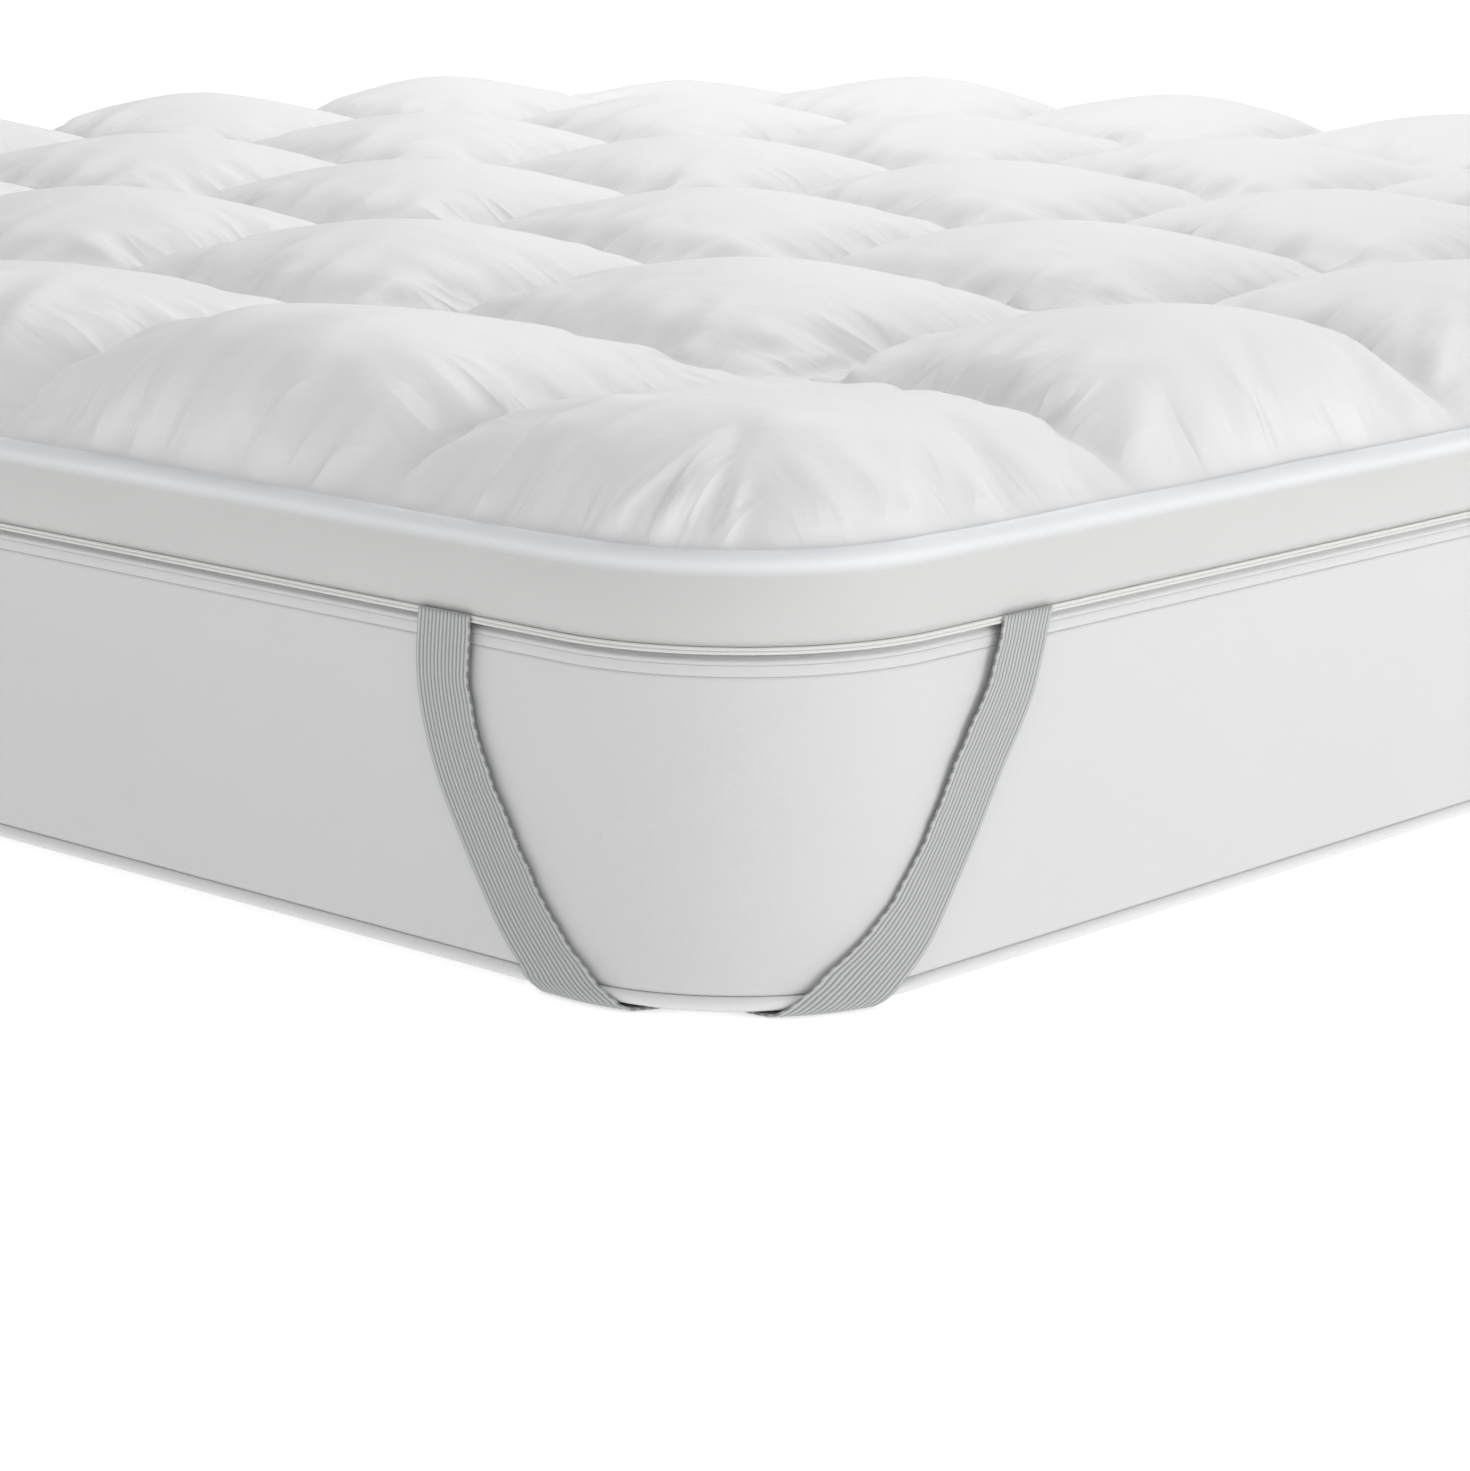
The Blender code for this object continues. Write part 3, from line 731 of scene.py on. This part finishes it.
def add_pad(material):
    piece = bpy.data.objects.new("quilted_topper_pad", pad_blank())
    bpy.context.scene.collection.objects.link(piece)
    fill_pad(piece)
    subdivided(piece)
    mesh = piece.data
    points = get_points(mesh)
    pillow_x, pillow_y = pillow_places(mesh)
    top = points[:, 2] > PAD_EDGE_HEIGHT + 0.0008
    lift = np.where(top, crease_field(pillow_x, pillow_y), 0.0)
    points += get_normals(mesh) * lift[:, None]
    set_points(mesh, points)
    close_underside(mesh)
    mesh.materials.append(material)
    mesh.shade_smooth()
    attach(piece, "root")
    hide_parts("quilted_pad")
    return piece


# ---------------------------------------------------------------- border and binding

def border_section():
    """The band's wall, softly bowed, rolled inward at the top, at an even thickness."""
    thickness = 0.0025
    roll = 0.0095
    foot = BORDER_LOW.z
    lip = 0.0130
    wall_top = BORDER_TOP - roll
    outside = []
    inside = []
    for step in range(9):
        share = step / 8
        bow = -0.0012 * math.sin(math.pi * share)
        height = foot + share * (wall_top - foot)
        outside.append((bow, height))
        inside.append((bow + thickness, height))
    for step in range(1, 9):
        turn = step / 8 * math.pi / 2
        outside.append((roll - roll * math.cos(turn), wall_top + roll * math.sin(turn)))
        inside.append((roll - (roll - thickness) * math.cos(turn), wall_top + (roll - thickness) * math.sin(turn)))
    outside.append((0.0118, BORDER_TOP - 0.0006))
    outside.append((lip, BORDER_TOP - 0.0020))
    inside.append((lip - 0.0006, BORDER_TOP - thickness - 0.0006))
    return outside + inside[::-1]


def border_wander(distance, inset, height):
    share = (height - BORDER_LOW.z) / (BORDER_TOP - BORDER_LOW.z)
    bow = math.sin(math.pi * min(max(share, 0), 1))
    shift_in = bow * waves(distance, 7, ((0.0006, 0.61), (0.0004, 0.27), (0.0003, 0.13)))
    shift_up = share * waves(distance, 8, ((0.0004, 0.53), (0.0003, 0.19)))
    return shift_in, shift_up


def binding_section():
    """Two round ridges, one over the other."""
    foot, top = BINDING_LOW.z, BINDING_HIGH.z
    back = 0.0020
    section = [(back, foot)]
    ridge = (top - foot) / 4
    for centre in (foot + ridge, foot + 3 * ridge):
        for step in range(7):
            turn = math.pi * (step / 6 - 0.5)
            section.append((-0.0003 - 0.0009 * math.cos(turn), centre + ridge * 0.98 * math.sin(turn)))
    section.append((back, top))
    return section


def add_border(border_cloth, binding_cloth):
    section = border_section()
    band = sweep_ring("rolled_border_band", TOPPER_OUTLINE, section, border_cloth, "border_band",
                      border_wander)
    binding = sweep_ring("ridged_lower_binding", TOPPER_OUTLINE, binding_section(), binding_cloth,
                         "lower_binding")


# ---------------------------------------------------------------- elastics

def outline_place(along, out):
    """A point by the corner at +X -Y, this far out from the mattress outline."""
    half_x, half_y, radius = MATTRESS_OUTLINE
    arc = radius * math.pi / 4
    centre = Vector((half_x - radius, -half_y + radius, 0))
    turn = -math.pi / 4 + max(-arc, min(along, arc)) / radius
    outward = Vector((math.cos(turn), math.sin(turn), 0))
    straight = Vector((0, max(along - arc, 0), 0)) + Vector((min(along + arc, 0), 0, 0))
    return centre + straight + outward * (radius + out)


def smooth_rows(rows, substeps):
    """A smooth curve through the rows, with this many stretches between each pair."""
    result = []
    for index in range(len(rows) - 1):
        before = rows[max(index - 1, 0)]
        start = rows[index]
        end = rows[index + 1]
        after = rows[min(index + 2, len(rows) - 1)]
        for step in range(substeps):
            share = step / substeps
            result.append([
                (2 * b + (c - a) * share + (2 * a - 5 * b + 4 * c - d) * share ** 2
                 + (3 * b - a - 3 * c + d) * share ** 3) / 2
                for a, b, c, d in zip(before, start, end, after)])
    return result + [list(rows[-1])]


def rib_profile():
    """Shares across the elastic with the lift of its ribbed face, then of its flat back."""
    front = []
    for step in range(RIB_POINTS):
        share = 1 - 2 * step / (RIB_POINTS - 1)
        groove = 0.5 + 0.5 * math.cos(2 * math.pi * step / 4)
        front.append((share, STRAP_THICKNESS / 2 - STRAP_RIB_HEIGHT * groove))
    back = [(-1 + 2 * step / STRAP_RIBS, -STRAP_THICKNESS / 2) for step in range(STRAP_RIBS + 1)]
    return front + back


def strap_loops(rows, side, profile):
    """Sections level with the mattress edge: rows of (point, place across, place along)."""
    loops = []
    travelled = 0.0
    for index, (along, height, out, lean) in enumerate(rows):
        behind = rows[max(index - 1, 0)]
        ahead = rows[min(index + 1, len(rows) - 1)]
        climb = math.hypot(ahead[1] - behind[1], ahead[2] - behind[2])
        slant = min(abs(ahead[0] - behind[0]) / climb, STRAP_SLANT_LIMIT)
        if index:
            travelled += math.dist((along, height, out), behind[:3])
        half_span = STRAP_WIDTH / 2 * math.hypot(1, slant)
        turn = lean * math.pi / 2
        ripple = 1 + STRAP_EDGE_WAVE * waves(travelled, 5, ((0.6, 0.031), (0.4, 0.019)))
        loop = []
        for share, lift in profile:
            span = share * half_span * (ripple if share > 0 else 1)
            point = outline_place(along + side * span, out + lift * math.cos(turn))
            point.z = height - lift * math.sin(turn)
            loop.append((point, share * STRAP_WIDTH / 2, travelled))
        loops.append(loop)
    return loops


def run_loops(start, end, profile, stations):
    """Sections of the straight run under the mattress, turning square to it and back."""
    first = (start[0][0] + start[RIB_POINTS - 1][0]) / 2
    last = (end[0][0] + end[RIB_POINTS - 1][0]) / 2
    ahead = last - first
    length = ahead.length
    to_corner = Vector((ahead.y, -ahead.x, 0)).normalized()
    loops = []
    for station in stations:
        near = min(station, 1 - station) / RUN_TURN
        blend = 1.0 if near >= 1 else near * near * (3 - 2 * near)
        edge = start if station < 0.5 else end
        level = (edge[0][0] - edge[RIB_POINTS - 1][0]) / 2
        level.z = 0
        reach = level.lerp(to_corner * STRAP_WIDTH / 2, blend)
        centre = first.lerp(last, station) - to_corner * RUN_DRAW * math.sin(math.pi * station)
        loop = []
        for share, lift in profile:
            point = centre + reach * share
            point.z = STRAP_ROUTE[UNDER_RUN][1] - lift
            loop.append((point, share * STRAP_WIDTH / 2, start[0][2] + station * length))
        loops.append(loop)
    return loops, length


def add_strap(corner, mirror, material):
    """One elastic, with real ribs, from its seam on one side under the mattress to its seam on the other."""
    profile = rib_profile()
    end_side = strap_loops(smooth_rows(STRAP_ROUTE[:UNDER_RUN + 1], 8), 1, profile)
    long_side = strap_loops(smooth_rows(STRAP_ROUTE[UNDER_RUN + 1:], 8), -1, profile)
    run, run_length = run_loops(end_side[-1], long_side[0], profile, [step / 14 for step in range(1, 14)])
    before_long = end_side[-1][0][2] + run_length
    long_side = [[(point, across, place + before_long) for point, across, place in loop] for loop in long_side]
    sections = end_side + run + long_side
    bm = bmesh.new()
    point_of = bm.verts.layers.int.new("point")
    section_of = bm.verts.layers.int.new("section")
    verts = [bm.verts.new() for _ in profile]
    for index, vert in enumerate(verts):
        vert[point_of] = index
    first = [bm.edges.new((verts[i - 1], verts[i])) for i in range(len(verts))]
    loop = first
    for number, section in enumerate(sections):
        if number:
            grown = bmesh.ops.extrude_edge_only(bm, edges=loop)["geom"]
            loop = [item for item in grown if isinstance(item, bmesh.types.BMEdge)]
            verts = [item for item in grown if isinstance(item, bmesh.types.BMVert)]
        for vert in verts:
            point = section[vert[point_of]][0]
            vert.co = (point.x * mirror[0], point.y * mirror[1], point.z)
            vert[section_of] = number
    bmesh.ops.contextual_create(bm, geom=first)
    bmesh.ops.contextual_create(bm, geom=loop)
    layer = bm.loops.layers.uv.new("cloth")
    for face in bm.faces:
        for face_loop in face.loops:
            vert = face_loop.vert
            _, across, place = sections[vert[section_of]][vert[point_of]]
            face_loop[layer].uv = (across, place)
    strap = finish_mesh(f"ribbed_elastic_{corner}", bm, material, f"elastic_{corner}")


# ---------------------------------------------------------------- mattress

TAPE_GAP = 0.0001
SLIT_FOOT = 0.1981            # the mattress's upper edge, a fine slit below the binding


def mattress_section():
    """From the flat underside up the bowed side to the top; shallow grooves seat the tape edges."""
    low = BOTTOM_TAPE_HIGH.z
    groove_low = TOP_TAPE_LOW.z - TAPE_GAP
    groove_high = TOP_TAPE_HIGH.z + TAPE_GAP
    section = [(0.0140, 0.0), (0.0100, 0.0008), (0.0060, 0.0030), (0.0050, 0.0050), (0.0050, low - 0.0004),
               (0.0014, low - 0.0001), (-0.0004, low + 0.0005), (-0.0013, low + 0.0018)]
    steps = 16
    for step in range(steps + 1):
        share = step / steps
        height = low + 0.0040 + share * (groove_low - 0.0020 - low - 0.0040)
        section.append((-0.0017 - 0.0015 * math.sin(0.5 * math.pi * min(1.0, share * 2.2)) ** 0.8, height))
    section += [(-0.0031, groove_low), (0.0016, groove_low + 0.0001), (0.0016, groove_high - 0.0001),
                (-0.0031, groove_high), (-0.0029, 0.5 * (groove_high + SLIT_FOOT)), (-0.0020, SLIT_FOOT - 0.0014),
                (-0.0004, SLIT_FOOT - 0.0004), (0.0020, SLIT_FOOT), (0.0090, SLIT_FOOT), (0.0120, MATTRESS_TOP)]
    return section


def mattress_wander(distance, inset, height):
    share = min(max((height - 0.02) / 0.16, 0), 1)
    bow = math.sin(math.pi * share)
    return bow * waves(distance + height, 12, ((0.0007, 0.83), (0.0004, 0.31))), 0.0


def strap_dent(mirror):
    """A cutter along the straight run of one elastic under the mattress."""
    start = outline_place(STRAP_ROUTE[UNDER_RUN][0], STRAP_ROUTE[UNDER_RUN][2])
    end = outline_place(STRAP_ROUTE[UNDER_RUN + 1][0], STRAP_ROUTE[UNDER_RUN + 1][2])
    run = end - start
    to_corner = Vector((run.y, -run.x, 0)).normalized()
    middle = (start + end) / 2 + to_corner * (DENT_CORNER_SIDE - DENT_INNER_SIDE) / 2
    turn = math.atan2(run.y * mirror[1], run.x * mirror[0])
    bm = bmesh.new()
    bmesh.ops.create_cube(bm, size=1)
    bmesh.ops.scale(bm, verts=bm.verts[:], vec=(run.length + 0.10, DENT_CORNER_SIDE + DENT_INNER_SIDE, 0.0056))
    bmesh.ops.rotate(bm, verts=bm.verts[:], cent=(0, 0, 0), matrix=Matrix.Rotation(turn, 3, "Z"))
    bmesh.ops.translate(bm, verts=bm.verts[:], vec=(middle.x * mirror[0], middle.y * mirror[1], 0))
    mesh = bpy.data.meshes.new("dent")
    bm.to_mesh(mesh)
    bm.free()
    cutter = bpy.data.objects.new("dent", mesh)
    bpy.context.scene.collection.objects.link(cutter)
    return cutter


def squared(value, blunt):
    return math.copysign(abs(value) ** blunt, value)


def add_mattress(cover, tape):
    stations, around = outline_stations(MATTRESS_OUTLINE, 24, 0.04)
    section = mattress_section()
    bm = bmesh.new()
    station_of = bm.verts.layers.int.new("station")
    row_of = bm.verts.layers.int.new("row")
    verts = [bm.verts.new() for _ in stations]
    for index, vert in enumerate(verts):
        vert[station_of] = index
    loop = [bm.edges.new((verts[i - 1], verts[i])) for i in range(len(verts))]
    first = loop
    place_row(verts, station_of, row_of, stations, section, 0, mattress_wander)
    for row in range(1, len(section)):
        grown = bmesh.ops.extrude_edge_only(bm, edges=loop)["geom"]
        loop = [item for item in grown if isinstance(item, bmesh.types.BMEdge)]
        verts = [item for item in grown if isinstance(item, bmesh.types.BMVert)]
        place_row(verts, station_of, row_of, stations, section, row, mattress_wander)
    lay_ring_cloth(bm, station_of, row_of, stations, section, around)
    layer = bm.loops.layers.uv["cloth"]
    for edges in (first, loop):
        for face in bmesh.ops.contextual_create(bm, geom=edges)["faces"]:
            for corner_loop in face.loops:
                corner_loop[layer].uv = corner_loop.vert.co.xy
    body = finish_mesh("plain_mattress", bm, cover, "mattress_body")
    for _, sign_x, sign_y in CORNERS:
        dent = body.modifiers.new("dent", "BOOLEAN")
        dent.operation = "DIFFERENCE"
        dent.object = strap_dent((sign_x, -sign_y))
    old = body.data
    body.data = bpy.data.meshes.new_from_object(body.evaluated_get(bpy.context.evaluated_depsgraph_get()))
    cutters = [dent.object for dent in body.modifiers]
    body.modifiers.clear()
    bpy.data.meshes.remove(old)
    for face in body.data.polygons:
        face.use_smooth = abs(face.normal.z) < 0.99    # the flat top and underside stay evenly shaded
    for cutter in cutters:
        bpy.data.objects.remove(cutter)
    for name, cloth, low, high, inset, depth, cut_width, blunt in (
            ("mattress_bottom_tape", tape, BOTTOM_TAPE_LOW, BOTTOM_TAPE_HIGH, 0.0010, 0.0040, 0.0125, 1.0),
            ("mattress_top_tape", cover, TOP_TAPE_LOW, TOP_TAPE_HIGH, -0.0012, 0.0020, 0.0100, 0.10)):
        half = (high.z - low.z) / 2
        turns = [2 * math.pi * step / 16 for step in range(16)]
        oval = [(inset + depth * squared(math.cos(turn), blunt), low.z + half + half * squared(math.sin(turn), blunt))
                for turn in turns]
        edge = sweep_ring(f"sewn_{name}", MATTRESS_OUTLINE, oval, cloth, name)


# ---------------------------------------------------------------- floor and light

def add_floor():
    material, tree, shader = new_material("pale_floor")
    place = add_node(tree, "ShaderNodeTexCoord").outputs["Object"]
    noise = add_node(tree, "ShaderNodeTexNoise", {"Vector": place, "Scale": 3.0, "Detail": 3.0})
    rough = math_node(tree, "MULTIPLY_ADD", noise.outputs["Fac"], 0.1, 0.8)
    tree.links.new(rough, shader.inputs["Roughness"])
    # painted light: the floor glows, weaker within 1.5 m of its centre and stronger beyond 4.5 m, and lights the bed
    # from below
    reach = add_node(tree, "ShaderNodeVectorMath", {0: place}, operation="LENGTH").outputs["Value"]
    glow = add_node(tree, "ShaderNodeMapRange", {"Value": reach, "From Min": 1.5, "From Max": 4.5,
                                                 "To Min": 0.47, "To Max": 0.64})
    tree.links.new(glow.outputs[0], shader.inputs["Emission Color"])
    shader.inputs["Base Color"].default_value = (0.95, 0.95, 0.95, 1)
    shader.inputs["Specular IOR Level"].default_value = 0.1
    shader.inputs["Emission Strength"].default_value = 1.0
    bm = bmesh.new()
    bmesh.ops.create_grid(bm, x_segments=8, y_segments=8, size=20)
    mesh = bpy.data.meshes.new("studio_floor")
    bm.to_mesh(mesh)
    bm.free()
    mesh.materials.append(material)
    floor = bpy.data.objects.new("studio_floor", mesh)
    bpy.context.scene.collection.objects.link(floor)


def add_lamp(name, place, aim, size, power):
    data = bpy.data.lights.new(name, "AREA")
    data.shape = "RECTANGLE"
    data.size, data.size_y = size
    data.energy = power
    lamp = bpy.data.objects.new(name, data)
    heading = Vector(aim) - Vector(place)
    lamp.rotation_euler = heading.to_track_quat("-Z", "Y").to_euler()
    lamp.location = place
    bpy.context.scene.collection.objects.link(lamp)


def add_light():
    world = bpy.data.worlds.new("studio_air")
    world.use_nodes = True
    sky = world.node_tree.nodes["Background"]
    sky.inputs["Color"].default_value = (1.0, 1.0, 1.0, 1)
    sky.inputs["Strength"].default_value = 0.45
    bpy.context.scene.world = world
    add_lamp("back_top", (-1.5, 2.5, 3.2), (0, 0, 0.25), (2.4, 2.4), 98)
    add_lamp("right_side", (4.5, 0.8, 0.8), (0.9, -0.5, 0.1), (2.4, 1.5), 60)
    add_lamp("front_high", (2.2, -4.6, 4.0), (0, 0, 0.25), (2.4, 2.4), 58)
    bpy.context.scene.view_settings.view_transform = "Standard"


# ---------------------------------------------------------------- the build

add_camera()
GROUPS["weave"] = build_weave_group()
GROUPS["tone"] = build_cloth_tone_group()
GROUPS["rumple"] = build_rumple_group()
GROUPS["pucker"] = build_pucker_group()
quilt_cloth = cloth_material("satin_quilt_cotton", (0.875, 0.875, 0.88), (0.80, 0.80, 0.81), 0.0005, 0.48, 0.25,
                             0.0016, pucker=0.0028)
border_cloth = cloth_material("border_cotton_cloth", (0.63, 0.63, 0.625), (0.58, 0.58, 0.575), 0.0005, 0.36, 0.15,
                              0.0008, painted_roll_highlight=(0.83, 0.85, 0.875))
binding_cloth = cloth_material("binding_cotton_cloth", (0.73, 0.73, 0.715), (0.63, 0.63, 0.615), 0.0007, 0.6, 0.2,
                               0.0003)
cover_cloth = cloth_material("mattress_cover_cloth", (0.67, 0.67, 0.67), (0.62, 0.62, 0.62), 0.0007, 0.6, 0.2,
                             0.0010)
tape_cloth = cloth_material("mattress_tape_cloth", (0.76, 0.76, 0.76), (0.70, 0.70, 0.70), 0.0006, 0.45, 0.2,
                            0.0003)
add_pad(quilt_cloth)
add_border(border_cloth, binding_cloth)
grey_elastic = elastic_material()
for corner, sign_x, sign_y in CORNERS:
    add_strap(corner, (sign_x, -sign_y), grey_elastic)
add_mattress(cover_cloth, tape_cloth)
add_floor()
add_light()
